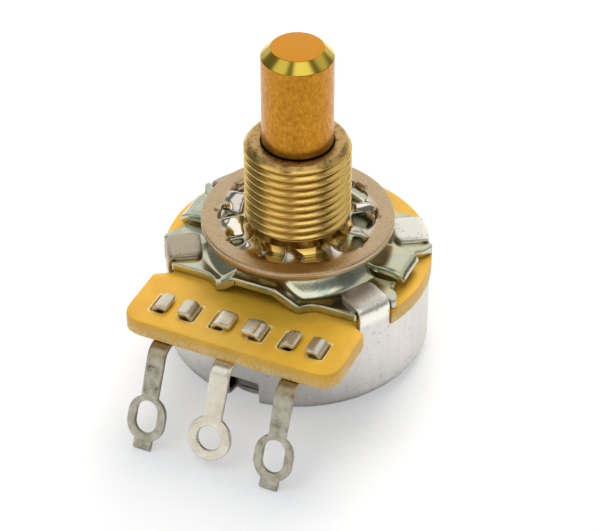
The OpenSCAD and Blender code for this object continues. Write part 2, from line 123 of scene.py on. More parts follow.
def signedArea(loop):
    return sum(a.x * b.y - b.x * a.y for a, b in zip(loop, loop[1:] + loop[:1])) / 2


def turned(loop, anticlockwise):
    return loop if (signedArea(loop) > 0) == anticlockwise else loop[::-1]


def divided(loop, spacing):
    # Splits the long sides, so that a bent sheet follows its surface along them
    points = []
    for a, b in zip(loop, loop[1:] + loop[:1]):
        length = (b - a).length
        if length < 1e-4:
            continue
        pieces = max(1, math.ceil(length / spacing))
        points += [a.lerp(b, i / pieces) for i in range(pieces)]
    return points


def inset(loop, distance):
    # The material lies to the left of the loop's direction
    points = []
    for i, here in enumerate(loop):
        before = (here - loop[i - 1]).normalized()
        after = (loop[(i + 1) % len(loop)] - here).normalized()
        leftBefore = Vector((-before.y, before.x))
        leftAfter = Vector((-after.y, after.x))
        middle = (leftBefore + leftAfter).normalized()
        points.append(here + middle * distance / max(0.5, middle.dot(leftAfter)))
    return points


def insideLoops(points, loops):
    inside = np.zeros(len(points), bool)
    for loop in loops:
        a = np.array([p[:] for p in loop])
        b = np.roll(a, -1, 0)
        for (ax, ay), (bx, by) in zip(a, b):
            if ay == by:
                continue
            crosses = ((ay > points[:, 1]) != (by > points[:, 1])) & (
                points[:, 0] < (bx - ax) * (points[:, 1] - ay) / (by - ay) + ax)
            inside ^= crosses
    return inside


# Meshes


def newShape():
    return {"points": [], "faces": []}


def addTo(shape, points, faces):
    first = len(shape["points"])
    shape["points"] += points
    shape["faces"] += [[first + i for i in face] for face in faces]


def sheet(outline, holes, stock, edge, spacing, surface, lift=0.0, openLoops=()):
    # A sheet of even thickness: a flat blank is filled with triangles, laid on the surface, given its
    # thickness below it and rounded along its cut edges
    loops = [turned(divided(outline, spacing), True)]
    loops += [turned(divided(hole, spacing), False) for hole in holes]
    flat, drops, sides, openPoints = [], [], [], set()
    # How far in and how far down each row of a rounded cut edge lies, as shares of its rounding
    edgeRows = [(0.0, 1.0), (0.3, 0.286), (1.0, 0.0)]
    for number, loop in enumerate(loops):
        for along, drop in (edgeRows[:1] if number in openLoops else edgeRows):
            first = len(flat)
            ring = inset(loop, along * edge) if along else loop
            flat += ring
            drops += [0.0 if number in openLoops else drop * edge] * len(ring)
            sides += [(first + i, first + (i + 1) % len(ring)) for i in range(len(ring))]
            if number in openLoops:
                openPoints.update(range(first, first + len(ring)))
    rim = np.array([p[:] for p in flat])
    low, high = rim.min(0), rim.max(0)
    row = spacing * math.sqrt(3) / 2
    grid = [(low[0] + (i + (j % 2) / 2) * spacing, low[1] + j * row)
            for j in range(int((high[1] - low[1]) / row) + 1)
            for i in range(int((high[0] - low[0]) / spacing) + 1)]
    grid = np.array(grid)
    grid = grid[insideLoops(grid, loops)]
    rimClearance = 0.6 * spacing
    clear = np.array([np.min(np.sum((rim - p) ** 2, 1)) > rimClearance ** 2 for p in grid], bool)
    inner = [Vector(p) for p in grid[clear]]
    found = delaunay_2d_cdt(flat + inner, sides, [], 0, 1e-5)
    spots, faces, origins = found[0], found[2], found[3]
    centres = np.array([[sum(spots[i][0] for i in f) / 3, sum(spots[i][1] for i in f) / 3] for f in faces])
    kept = [f for f, ok in zip(faces, insideLoops(centres, loops)) if ok]
    dropOf, opened = [], []
    for source in origins:
        edgeSource = [i for i in source if i < len(drops)]
        dropOf.append(drops[edgeSource[0]] if edgeSource else 0.0)
        opened.append(any(i in openPoints for i in edgeSource))
    probe = 0.01  # the surface's direction is felt over this distance
    front, back = [], []
    for spot, drop in zip(spots, dropOf):
        x, y = spot[0], spot[1]
        here = surface(x, y)
        normal = (surface(x + probe, y) - here).cross(surface(x, y + probe) - here).normalized()
        front.append(here + normal * (lift - drop))
        back.append(here + normal * (lift - stock + drop))
    count = len(spots)
    shell = [list(f) for f in kept] + [[i + count for i in reversed(f)] for f in kept]
    half = {(f[i], f[(i + 1) % 3]) for f in kept for i in range(3)}
    shell += [[a, a + count, b + count, b] for a, b in half
              if (b, a) not in half and not (opened[a] and opened[b])]
    return front + back, shell


def lathe(profile, segments):
    # Turns a closed profile of radius and height round the shaft's axis
    points = [Vector((r * math.cos(a), r * math.sin(a), z))
              for a in (2 * math.pi * i / segments for i in range(segments)) for r, z in profile]
    n = len(profile)
    faces = [[i * n + k, after * n + k, after * n + (k + 1) % n, i * n + (k + 1) % n]
             for i in range(segments) for after in [(i + 1) % segments] for k in range(n)]
    return points, faces


def finishPiece(name, shape, material, body, nodes):
    mesh = bpy.data.meshes.new(name)
    mesh.from_pydata([p / perMetre for p in shape["points"]], [], shape["faces"])
    cleaner = bmesh.new()
    cleaner.from_mesh(mesh)
    bmesh.ops.remove_doubles(cleaner, verts=cleaner.verts, dist=2e-6)
    bmesh.ops.dissolve_degenerate(cleaner, edges=cleaner.edges, dist=1e-7)
    cleaner.to_mesh(mesh)
    cleaner.free()
    mesh.polygons.foreach_set("use_smooth", [True] * len(mesh.polygons))
    mesh.materials.append(material)
    piece = bpy.data.objects.new(name, mesh)
    bpy.context.scene.collection.objects.link(piece)
    piece.modifiers.new("even shading", "WEIGHTED_NORMAL")
    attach(piece, body)
    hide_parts(*nodes)
    print(name, "has", len(mesh.polygons), "faces")


# Materials


def linearFromHex(code):
    channels = [int(code[i:i + 2], 16) / 255 for i in (1, 3, 5)]
    return (*[c / 12.92 if c <= 0.04045 else ((c + 0.055) / 1.055) ** 2.4 for c in channels], 1.0)


def setNode(tree, node, settings):
    # A setting is a number, a hex colour, a colour ramp's stops, or the socket that gives the value
    for name, value in dict(settings).items():
        if name == "stops":
            ramp = node.color_ramp
            while len(ramp.elements) < len(value):
                ramp.elements.new(0.5)
            for element, (place, tone) in zip(ramp.elements, value):
                element.position = place
                element.color = linearFromHex(tone) if isinstance(tone, str) else (tone, tone, tone, 1)
        elif isinstance(value, bpy.types.NodeSocket):
            tree.links.new(value, node.inputs[name])
        elif isinstance(name, int) or name in node.inputs:
            node.inputs[name].default_value = linearFromHex(value) if isinstance(value, str) else value
        else:
            setattr(node, name, value)


def addNode(tree, kind, settings=(), output=0):
    node = tree.nodes.new("ShaderNode" + kind)
    setNode(tree, node, settings)
    return node.outputs[output]


def product(tree, *values):
    # Multiplies the values one after the other
    total = values[0]
    for value in values[1:]:
        total = addNode(tree, "Math", {"operation": "MULTIPLY", 0: total, 1: value})
    return total


def layered(tree, tone, *layers):
    # Each layer is the share that it covers and its own tone
    for share, over in layers:
        tone = addNode(tree, "Mix", {"data_type": "RGBA", 0: share, 6: tone, 7: over}, 2)
    return tone


def startMaterial(name):
    # Gives the tree, its shader and the place on the piece in millimetres
    material = bpy.data.materials.new(name)
    material.use_nodes = True
    tree = material.node_tree
    tree.nodes.clear()
    shader = addNode(tree, "BsdfPrincipled")
    tree.links.new(shader, tree.nodes.new("ShaderNodeOutputMaterial").inputs[0])
    spot = addNode(tree, "TexCoord", {}, "Object")
    place = addNode(tree, "VectorMath", {"operation": "SCALE", 0: spot, "Scale": perMetre})
    return material, tree, shader.node, place


def mottling(tree, place, perMm, detail=3.0, stretch=(1, 1, 1), roughness=0.5, stops=()):
    # Uneven spots, so many to the millimetre; a stretch below 1 draws them out along that axis
    crowded = addNode(tree, "VectorMath",
                      {"operation": "MULTIPLY", 0: place, 1: [perMm * s for s in stretch]})
    spots = addNode(tree, "TexNoise",
                    {"Vector": crowded, "Scale": 1.0, "Detail": detail, "Roughness": roughness})
    return addNode(tree, "ValToRGB", {0: spots, "stops": stops}) if stops else spots


def axisParts(tree, place):
    # Distance from the shaft's axis and height along it
    split = addNode(tree, "SeparateXYZ", {0: place}).node
    flat = addNode(tree, "CombineXYZ", {0: split.outputs[0], 1: split.outputs[1]})
    return addNode(tree, "VectorMath", {"operation": "LENGTH", 0: flat}, "Value"), split.outputs[2]


def turningMarks(tree, place, perMm):
    # Rings that a lathe tool leaves: they follow the radius on a face and the height on a wall. Real ones are
    # 20 and more to the millimetre, too fine to show, so they are drawn coarser
    reach, height = axisParts(tree, place)
    along = addNode(tree, "Math", {"operation": "ADD", 0: reach, 1: height})
    return addNode(tree, "TexNoise",
                   {"noise_dimensions": "1D", "W": along, "Scale": perMm, "Detail": 4.0})


def raised(tree, grain, depth):
    # The depth of the relief is in millimetres
    return addNode(tree, "Bump", {"Strength": 1.0, "Distance": depth / perMetre, "Height": grain})


# Shaft

shaft = {
    "radius": 3.175, "journal": 3.0, "chamfer": 0.88, "inner": 2.5, "flats": 3.6, "segments": 160,
    "grooveDepth": 0.5, "grooveHeight": 0.6, "grooveLand": 0.3, "groovePlay": 0.1, "bright": "#C88C2C",
    "deep": "#9C6820", "tip": "#DA942C", "tipDeep": "#CE8A26", "chamferTone": "#CDB44A", "foot": "#8C7A30",
    "footShadeHeight": 0.8, "mottlePerMm": 2.8, "ringsPerMm": 9.0, "markDepth": 0.0022,
}


def shaftBrassMaterial():
    # Free-cutting brass, turned and left to tone down: golden wall, finely mottled; soft rings on the tip,
    # greener where the chamfer is cut; painted olive shade and reflection at the foot, where it stands in the
    # bushing's mouth
    s = shaft
    material, tree, shader, place = startMaterial("toned turned brass")
    mottle = mottling(tree, place, s["mottlePerMm"], 6.0, (1, 1, 0.7), 0.7)
    wall = addNode(tree, "ValToRGB", {0: mottle, "stops": [(0.3, s["deep"]), (0.66, s["bright"])]})
    rings = turningMarks(tree, place, s["ringsPerMm"])
    tip = addNode(tree, "ValToRGB", {0: rings, "stops": [(0.3, s["tipDeep"]), (0.7, s["tip"])]})
    height = axisParts(tree, place)[1]
    chamferFoot = shaftTip - s["chamfer"]
    onChamfer = addNode(tree, "MapRange",
                        {0: height, "From Min": chamferFoot, "From Max": chamferFoot + 0.05})
    onTip = addNode(tree, "MapRange", {0: height, "From Min": shaftTip - 0.06, "From Max": shaftTip - 0.02})
    # Painted olive shade and reflection on the foot, down in the bushing's mouth
    footShadeShare = addNode(tree, "MapRange", {0: height, "From Min": threadTop + s["footShadeHeight"],
                                        "From Max": threadTop, "To Max": 0.9})
    dull = addNode(tree, "ValToRGB", {0: mottle, "stops": [(0.3, 0.36), (0.7, 0.26)]})
    setNode(tree, shader, {
        "Base Color": layered(tree, wall, (footShadeShare, s["foot"]), (onChamfer, s["chamferTone"]), (onTip, tip)),
        "Roughness": layered(tree, dull, (onChamfer, (0.2, 0.2, 0.2, 1))),
        "Metallic": 1.0, "Normal": raised(tree, layered(tree, mottle, (onTip, rings)), s["markDepth"])})
    return material


def buildShaft():
    s = shaft
    grooveTop = spigotBottom - s["groovePlay"]
    grooveLow = grooveTop - s["grooveHeight"]
    shoulder = grooveLow - s["grooveLand"]
    groove = s["journal"] - s["grooveDepth"]
    # Radius, height and rounding of each corner
    profile = roundedLoop([
        (0, shaftEnd, 0), (s["inner"], shaftEnd, 0.3), (s["inner"], shoulder, 0.03),
        (s["journal"], shoulder, 0.05), (s["journal"], grooveLow, 0.03),
        (groove, grooveLow, 0.03), (groove, grooveTop, 0.03),
        (s["journal"], grooveTop, 0.03), (s["journal"], threadTop, 0.02), (s["radius"], threadTop, 0.12),
        (s["radius"], shaftTip - s["chamfer"], 0.12), (s["radius"] - s["chamfer"], shaftTip, 0.1),
        (0, shaftTip, 0)], steps=4)
    shape = newShape()
    addTo(shape, *lathe([p[:] for p in profile], s["segments"]))
    for p in shape["points"]:
        if p.z < shoulder - 0.01:
            p.x = max(-s["flats"] / 2, min(s["flats"] / 2, p.x))
    finishPiece("turned_shaft", shape, shaftBrass, "rotor", ["shaft"])


# Bushing

bushing = {
    "thread": 4.7625, "pitch": 0.79375, "threadDepth": 0.42, "crestFlat": 0.14, "rootFlat": 0.1,
    "neck": 4.35, "neckTop": 1.8, "neckBlend": 0.2, "foot": 0.7, "bore": 3.05, "mouth": 0.9,
    "mouthRadius": 3.28, "mouthFall": 0.1, "topChamfer": 0.58, "spigot": 3.95, "collar": 4.55,
    "collarHeight": 0.5, "plateHole": 4.1, "segments": 144, "rowsPerPitch": 20, "crest": "#DCBC6C",
    "root": "#BA8A42", "shadedRootRadius": 4.36, "litCrestRadius": 4.6, "land": "#CCA96C", "stain": "#917648",
    "landDrop": 0.35, "speckShare": 0.35, "mouthShade": "#9A8448", "stainPerMm": 1.8, "speckPerMm": 5.0,
    "speck": "#A98A5A", "ringsPerMm": 7.0, "markDepth": 0.0012, "dullPerMm": 1.3,
}


def bushingBrassMaterial():
    # Free-cutting brass, thread rolled and bright: painted highlight makes the crests pale yellow and painted
    # shade the roots orange;
    # the end face is tan and stained, and the mouth round the shaft is painted darker as shade
    b = bushing
    material, tree, shader, place = startMaterial("rolled thread brass")
    reach, height = axisParts(tree, place)
    # Painted shade in the thread's roots and painted highlight on its crests, graded by the radius
    outward = addNode(tree, "MapRange", {0: reach, "From Min": b["shadedRootRadius"], "From Max": b["litCrestRadius"]})
    specks = mottling(tree, place, b["speckPerMm"], 2.0, stops=[(0.28, b["speck"]), (0.4, "#FFFFFF")])
    thread = addNode(tree, "Mix", {"data_type": "RGBA", "blend_type": "MULTIPLY", 0: b["speckShare"],
                                   6: layered(tree, b["root"], (outward, b["crest"])), 7: specks}, 2)
    land = mottling(tree, place, b["stainPerMm"], 5.0, roughness=0.65,
                    stops=[(0.36, b["stain"]), (0.52, b["land"])])
    onLand = addNode(tree, "MapRange", {0: height, "From Min": threadTop - b["landDrop"],
                                        "From Max": threadTop - b["landDrop"] / 2})
    # Painted shade in the bushing's mouth round the shaft
    shadedMouth = addNode(tree, "MapRange",
                      {0: reach, "From Min": b["mouthRadius"] + 0.06, "From Max": b["mouthRadius"]})
    bright = mottling(tree, place, b["dullPerMm"], stops=[(0.3, 0.25), (0.7, 0.17)])
    setNode(tree, shader, {
        "Base Color": layered(tree, thread, (onLand, land), (shadedMouth, b["mouthShade"])),
        "Roughness": layered(tree, bright, (onLand, (0.42, 0.42, 0.42, 1)), (shadedMouth, (0.6, 0.6, 0.6, 1))),
        "Metallic": 1.0, "Normal": raised(tree, turningMarks(tree, place, b["ringsPerMm"]), b["markDepth"])})
    return material


def threadRadius(phase, height, low, high):
    # Radius of the thread at a phase of 0 to 1 from crest to crest, eased into the neck and the chamfer
    b = bushing
    away = abs(phase - round(phase))
    flank = (away - b["crestFlat"] / 2) / (0.5 - b["crestFlat"] / 2 - b["rootFlat"] / 2)
    flank = max(0.0, min(1.0, flank))
    radius = b["thread"] - b["threadDepth"] * flank
    radius = min(radius, b["thread"] - b["topChamfer"] + high - height)
    radius = min(radius, b["neck"] + (height - low))
    settle = max(0.0, min(1.0, (height - low) / b["neckBlend"]))
    return b["neck"] + (radius - b["neck"]) * settle


def buildBushing():
    b = bushing
    slope = b["thread"] - b["neck"]
    low = mountTop + b["neckTop"] - slope
    high = threadTop
    rows = int((high - low) / b["pitch"] * b["rowsPerPitch"]) + 2
    sleeve, step = [], b["pitch"] / b["rowsPerPitch"]
    for i in range(b["segments"]):
        turn = i / b["segments"]
        angle = 2 * math.pi * turn
        for k in range(-b["rowsPerPitch"], rows):
            height = max(low, min(high, low + k * step + b["pitch"] * turn))
            radius = threadRadius(k / b["rowsPerPitch"], height, low, high)
            sleeve.append(Vector((radius * math.cos(angle), radius * math.sin(angle), height)))
    # Round the last seam the rows meet those one turn higher
    tall = rows + b["rowsPerPitch"]
    faces = []
    for i in range(b["segments"]):
        last = i == b["segments"] - 1
        for k in range(tall - 1):
            shift = b["rowsPerPitch"] if last else 0
            if k + 1 + shift >= tall:
                continue
            other = ((i + 1) % b["segments"]) * tall + k + shift
            faces.append([i * tall + k, other, other + 1, i * tall + k + 1])
    shape = newShape()
    addTo(shape, sleeve, faces)
    plateBottom = mountTop - plateStock
    collarBottom = plateBottom - b["collarHeight"]
    # Radius, height and rounding of each corner
    profile = roundedLoop([
        (b["neck"], low, 0), (b["neck"], mountTop + b["foot"], 0.08),
        (b["thread"], mountTop + b["foot"] - slope, 0.05), (b["thread"], mountTop, 0.04),
        (b["plateHole"], mountTop, 0.02), (b["plateHole"], plateBottom, 0.02),
        (b["collar"], plateBottom, 0.05), (b["collar"], collarBottom, 0.1), (b["spigot"], collarBottom, 0.05),
        (b["spigot"], spigotBottom, 0.2), (b["bore"], spigotBottom, 0.1),
        (b["bore"], high - b["mouth"], 0.03), (b["mouthRadius"], high - b["mouth"] / 2, 0.05),
        (b["mouthRadius"], high - b["mouthFall"], 0.04), (b["thread"] - b["topChamfer"], high, 0)], steps=3)
    points, walls = lathe([p[:] for p in reversed(profile)], b["segments"])
    # The thread closes the outline from the chamfer to the neck, so the lathe leaves that part open
    n = len(profile)
    walls = [w for w in walls if not (w[0] % n == n - 1 and w[3] % n == 0)]
    addTo(shape, points, walls)
    finishPiece("threaded_bushing", shape, bushingBrass, "case", ["bushing"])


# Lock washer

washer = {
    "ring": 7.05, "teeth": 10, "firstTooth": 3, "toothWidth": 1.9, "toothTip": 5.05, "twist": 40,
    "stock": 0.75, "edge": 0.14, "spacing": 0.28, "twistStart": 0.25, "twistRun": 1.3, "rootRound": 0.7,
    "tipRound": 0.35, "gapHalf": 0.05, "ringTone": "#CCB492", "ringDeep": "#B39B78",
    "toothTone": "#D8D0C4", "toothFrom": 7.2, "toothTo": 6.6, "grainPerMm": 9.0, "grainDepth": 0.002,
}


def washerSteelMaterial():
    # Spring steel, stamped and plated: warm grey satin ring, teeth worn bright by the forming tool
    w = washer
    material, tree, shader, place = startMaterial("plated spring steel")
    reach = axisParts(tree, place)[0]
    inward = addNode(tree, "MapRange", {0: reach, "From Min": w["toothFrom"], "From Max": w["toothTo"]})
    grain = mottling(tree, place, w["grainPerMm"], 4.0)
    ring = addNode(tree, "ValToRGB", {0: grain, "stops": [(0.35, w["ringDeep"]), (0.65, w["ringTone"])]})
    setNode(tree, shader, {
        "Base Color": layered(tree, ring, (inward, w["toothTone"])),
        "Roughness": addNode(tree, "ValToRGB", {0: inward, "stops": [(0.0, 0.32), (1.0, 0.15)]}),
        "Metallic": 1.0, "Normal": raised(tree, grain, w["grainDepth"])})
    return material


def washerSurface(x, y):
    # The ring lies flat and each tooth is twisted about its own middle line
    w = washer
    pitch = 360 / w["teeth"]
    angle = math.degrees(math.atan2(y, x))
    tooth = math.radians(w["firstTooth"] + pitch * round((angle - w["firstTooth"]) / pitch))
    outward = Vector((math.cos(tooth), math.sin(tooth), 0))
    across = Vector((-math.sin(tooth), math.cos(tooth), 0))
    side = x * across.x + y * across.y
    along = x * outward.x + y * outward.y
    t = max(0.0, min(1.0, (w["ring"] + w["twistStart"] - math.hypot(x, y)) / w["twistRun"]))
    twist = math.radians(w["twist"]) * t * t * (3 - 2 * t)
    place = outward * along + across * side * math.cos(twist)
    return place + Vector((0, 0, washerMiddle - side * math.sin(twist)))


def buildWasher():
    w = washer
    half = w["toothWidth"] / 2
    root = math.sqrt(w["ring"] ** 2 - half ** 2)
    corners = []
    for i in range(w["teeth"]):
        axis = math.radians(w["firstTooth"] + 360 / w["teeth"] * i)
        outward = Vector((math.cos(axis), math.sin(axis)))
        across = Vector((-math.sin(axis), math.cos(axis)))
        for along, side, radius in ((root, -half, w["rootRound"]), (w["toothTip"], -half, w["tipRound"]),
                                    (w["toothTip"], half, w["tipRound"]), (root, half, w["rootRound"])):
            corners.append((*(outward * along + across * side), radius))
        gap = axis + math.pi / w["teeth"]
        corners += [(w["ring"] * math.cos(gap + more), w["ring"] * math.sin(gap + more), 0)
                    for more in (-w["gapHalf"], 0, w["gapHalf"])]
    shape = newShape()
    rim = arcPoints((0, 0), washerRadius, 0, 360, 144)[:-1]
    addTo(shape, *sheet(rim, [roundedLoop(corners)], w["stock"], w["edge"], w["spacing"], washerSurface,
                        w["stock"] / 2))
    finishPiece("toothed_washer", shape, washerSteel, "case", ["lock_washer"])


# Mounting plate

plate = {
    "boss": 6.8, "bossFoot": 8.7, "rise": 1.75, "ribRise": 1.2, "ribLeft": (-3.9, -2.5),
    "ribRight": (3.9, 1.6), "ribEnd": 8.6, "ear": 7.65, "scallopX": 5.8, "scallop": 2.1, "hole": 4.1,
    "notchIn": 11.15, "notchHalf": 1.75, "edge": 0.12, "spacing": 0.3, "blend": 0.22, "scallopStart": 4.04,
    "earSide": 8.8, "earOut": 11.55, "hookOut": 11.95,
    "hook": [(11.38, 4.2, 0.35), (10.9, 3.15, 0.25), (10.35, 2.65, 0.15), (10.35, 1.77, 0.2),
             (7.7, 1.77, 0.15)],
    "strapHalf": 1.72,
    "strapPath": [(6.2, 1.66), (6.9, 1.62), (7.4, 1.36), (8.0, 1.12), (8.9, 1.07), (9.7, 1.02), (10.4, 0.84),
                  (10.85, 0.55), (11.12, 0.14)],
    "clear": "#C2C5B2", "green": "#A6AE9A", "gold": "#CEC8A4", "patchPerMm": 0.35, "grainPerMm": 6.0,
    "grainDepth": 0.0034,
}


def plateZincMaterial():
    # Cold-rolled steel, pressed, zinc plated and clear chromated: grey-green, glossy, faint rainbow in places
    p = plate
    material, tree, shader, place = startMaterial("chromated zinc plate")
    grain = mottling(tree, place, p["grainPerMm"], 4.0)
    setNode(tree, shader, {
        "Base Color": mottling(tree, place, p["patchPerMm"], 3.0,
                               stops=[(0.36, p["green"]), (0.5, p["clear"]), (0.66, p["gold"])]),
        "Roughness": addNode(tree, "ValToRGB", {0: grain, "stops": [(0.3, 0.22), (0.7, 0.15)]}),
        "Metallic": 1.0, "Normal": raised(tree, grain, p["grainDepth"])})
    return material


def eased(t):
    # Falls smoothly from 1 to 0
    t = max(0.0, min(1.0, t))
    return (1 + math.cos(math.pi * t)) / 2


def smoothHigher(a, b, blend):
    # The higher of the two, with a soft hollow where they cross
    near = max(blend - abs(a - b), 0.0) / blend
    return max(a, b) + near * near * blend / 4


def plateHeight(x, y):
    p = plate
    boss = p["rise"] * eased((math.hypot(x, y) - p["boss"]) / (p["bossFoot"] - p["boss"]))
    foot, crown = p["ribLeft"] if x < 0 else p["ribRight"]
    rib = p["ribRise"] * max(0.0, min(1.0, (x - foot) / (crown - foot)))
    return smoothHigher(rib, boss, p["blend"])


def plateSurface(x, y):
    return Vector((x, y, earTop + plateHeight(x, y)))


def mirroredFour(quarter):
    # Completes an outline given from the +Y side round to the +X side
    right = quarter + [(x, -y, r) for x, y, r in reversed(quarter)]
    return right + [(-x, y, r) for x, y, r in reversed(right)]


def buildPlate():
    p = plate
    start = math.degrees(math.acos((p["scallopX"] - p["scallopStart"]) / p["scallop"]))
    scallop = arcPoints((p["scallopX"], p["ear"] + p["scallop"]), p["scallop"], 180 + start, 270, 8)
    half = p["notchHalf"]
    quarter = [(scallop[0].x, p["ribEnd"], 0.1)] + [(q.x, q.y, 0) for q in scallop[1:]]
    quarter += [(p["earSide"], p["ear"], 0.25), (*placeAt(p["earOut"], half), 0.08),
                (*placeAt(p["notchIn"], half), 0.15), (*placeAt(p["notchIn"], -half), 0.15),
                (*placeAt(p["hookOut"], -half), 0.4), *p["hook"]]
    outline = roundedLoop(mirroredFour(quarter))
    shape = newShape()
    hole = arcPoints((0, 0), p["hole"], 0, 360, 72)[:-1]
    addTo(shape, *sheet(outline, [hole], plateStock, p["edge"], p["spacing"], plateSurface))
    for side in (1, -1):
        addTo(shape, *sideStrap(side))
    finishPiece("pressed_plate", shape, plateZinc, "case", ["mounting_plate"])


def smoothLine(points, steps):
    # Catmull-Rom line through the points, with the distance along it
    ends = [points[0]] + points + [points[-1]]
    line = []
    for i in range(1, len(ends) - 2):
        p0, p1, p2, p3 = (Vector(q) for q in ends[i - 1:i + 3])
        for k in range(steps):
            t = k / steps
            line.append(0.5 * ((2 * p1) + (p2 - p0) * t + (2 * p0 - 5 * p1 + 4 * p2 - p3) * t ** 2
                               + (3 * p1 - p0 - 3 * p2 + p3) * t ** 3))
    line.append(Vector(points[-1]))
    reach = [0.0]
    for a, b in zip(line, line[1:]):
        reach.append(reach[-1] + (b - a).length)
    return line, reach


def sideStrap(side):
    # Lanced out of the plate: it runs out over the wafer and bends down at the edge
    line, reach = smoothLine(plate["strapPath"], 10)
    xs, zs = [q.x for q in line], [q.y for q in line]
    half, length = plate["strapHalf"], reach[-1]

    def surface(x, y):
        along = float(np.interp(x, reach, xs)) + max(0.0, x - length)
        height = float(np.interp(x, reach, zs)) - max(0.0, x - length)
        return Vector((side * along, side * y, earTop + height))

    outline = roundedLoop([(0, -half, 0), (length, -half, 0.12), (length, half, 0.12), (0, half, 0)])
    return sheet(outline, [], plateStock, plate["edge"], plate["spacing"], surface)


# Wafer

wafer = {
    "radius": 12.1, "half": 10.2, "corner": 2.0, "hole": 4.0, "notchIn": 11.35, "notchHalf": 1.75,
    "tongueClear": 2.2, "slotX": (0.78, 2.12), "slotY": (-13.35, -11.05), "slotCorner": 0.25,
    "middleSpread": 0.45, "edge": 0.1, "spacing": 0.5, "light": "#DEAE36", "deep": "#D2A030",
    "edgeFibre": "#DCC492", "slotFibre": "#EFE2B8", "cloudPerMm": 0.4, "fibrePerMm": 5.5,
    "fibreDepth": 0.012, "edgeFrom": 0.7, "edgeTo": 0.35, "slotMiddles": (1.9, 4.67, 7.57),
    "slotHalf": 0.79, "slotRow": (-12.2, 1.27),
}


def phenolicMaterial():
    # Paper phenolic laminate, punched: tan yellow, faintly translucent; fibres torn pale low on the cut edge
    # and in the slots. Real fibres are finer than a pixel, so they are drawn coarser
    w = wafer
    material, tree, shader, place = startMaterial("paper phenolic")
    face = mottling(tree, place, w["cloudPerMm"], 4.0, stops=[(0.35, w["deep"]), (0.65, w["light"])])
    split = addNode(tree, "SeparateXYZ", {0: place}).node
    upward = addNode(tree, "SeparateXYZ", {0: addNode(tree, "TexCoord", {}, "Normal")}, 2)
    upright = addNode(tree, "Math", {"operation": "ABSOLUTE", 0: upward})
    onEdge = addNode(tree, "MapRange", {0: upright, "From Min": 0.6, "From Max": 0.2})
    thick = waferTop - waferBottom
    low = addNode(tree, "MapRange", {0: split.outputs[2], "From Min": waferBottom + thick * w["edgeFrom"],
                                     "From Max": waferBottom + thick * w["edgeTo"]})
    lowEdge = product(tree, onEdge, low)
    fibre = mottling(tree, place, w["fibrePerMm"], 5.0, (1, 1, 0.45), 0.7)
    torn = addNode(tree, "ValToRGB", {0: fibre, "stops": [(0.42, 0.0), (0.56, 0.8)]})
    # A torn pale frame round each slot, found by its distance from the slots' middles
    aside = addNode(tree, "Math", {"operation": "ABSOLUTE", 0: split.outputs[0]})
    inSlots = 0.0
    for middle in w["slotMiddles"]:
        near = addNode(tree, "Math", {"operation": "COMPARE", 0: aside, 1: middle, 2: w["slotHalf"]})
        inSlots = addNode(tree, "Math", {"operation": "ADD", 0: near, 1: inSlots})
    rowMiddle, rowHalf = w["slotRow"]
    inRow = addNode(tree, "Math", {"operation": "COMPARE", 0: split.outputs[1], 1: rowMiddle, 2: rowHalf})
    tornFrame = addNode(tree, "ValToRGB", {0: fibre, "stops": [(0.36, 0.15), (0.56, 0.85)]})
    setNode(tree, shader, {
        "Base Color": layered(tree, face, (product(tree, lowEdge, torn), w["edgeFibre"]),
                              (product(tree, inSlots, inRow, tornFrame), w["slotFibre"])),
        "Roughness": addNode(tree, "ValToRGB", {0: lowEdge, "stops": [(0.0, 0.36), (1.0, 0.6)]}),
        "Metallic": 0.0, "IOR": 1.55, "Specular IOR Level": 0.35, "Subsurface Weight": 0.12,
        "Subsurface Radius": (0.0012, 0.0007, 0.0002), "Subsurface Scale": 1.0,
        "Normal": raised(tree, product(tree, fibre, lowEdge), w["fibreDepth"])})
    return material


def buildWafer():
    w = wafer
    corners = [(0, -tongueReach, 0), (w["half"], -tongueReach, w["corner"])]
    # The tongue's straight side ends where it meets the line that clears the cover's front tab
    side = -w["tongueClear"]
    c, s = math.cos(math.radians(-tabTurn)), math.sin(math.radians(-tabTurn))
    corners.append((w["half"], ((w["half"] + side * s) / c) * s + side * c, 0.3))
    corners += [(*placeAt(w["notchIn"], side, -tabTurn), 0.3),
                (*placeAt(w["notchIn"], w["notchHalf"], -tabTurn), 0.2)]
    lean = math.degrees(math.asin(w["notchHalf"] / w["radius"]))
    corners += arcCorners((0, 0), w["radius"], lean - tabTurn, tabTurn - lean, 24, 0.1, 0.1)
    corners += [(*placeAt(w["notchIn"], -w["notchHalf"]), 0.2), (*placeAt(w["notchIn"], w["notchHalf"]), 0.2)]
    corners += arcCorners((0, 0), w["radius"], tabTurn + lean, 90, 26, 0.1)
    corners += [(-x, y, r) for x, y, r in reversed(corners[1:-1])]
    (inner, outer), (low, high), r = w["slotX"], w["slotY"], w["slotCorner"]
    holes = [arcPoints((0, 0), w["hole"], 0, 360, 72)[:-1]]
    for x, more in ((-lugPitch, 0), (0, w["middleSpread"]), (lugPitch, 0)):
        for a, b in ((inner + more, outer + more), (-outer - more, -inner - more)):
            holes.append(roundedLoop([(x + a, low, r), (x + b, low, r), (x + b, high, r), (x + a, high, r)]))
    shape = newShape()
    addTo(shape, *sheet(roundedLoop(corners), holes, waferTop - waferBottom, w["edge"], w["spacing"],
                        lambda x, y: Vector((x, y, waferTop))))
    finishPiece("phenolic_wafer", shape, phenolic, "case", ["wafer"])


# Solder lugs

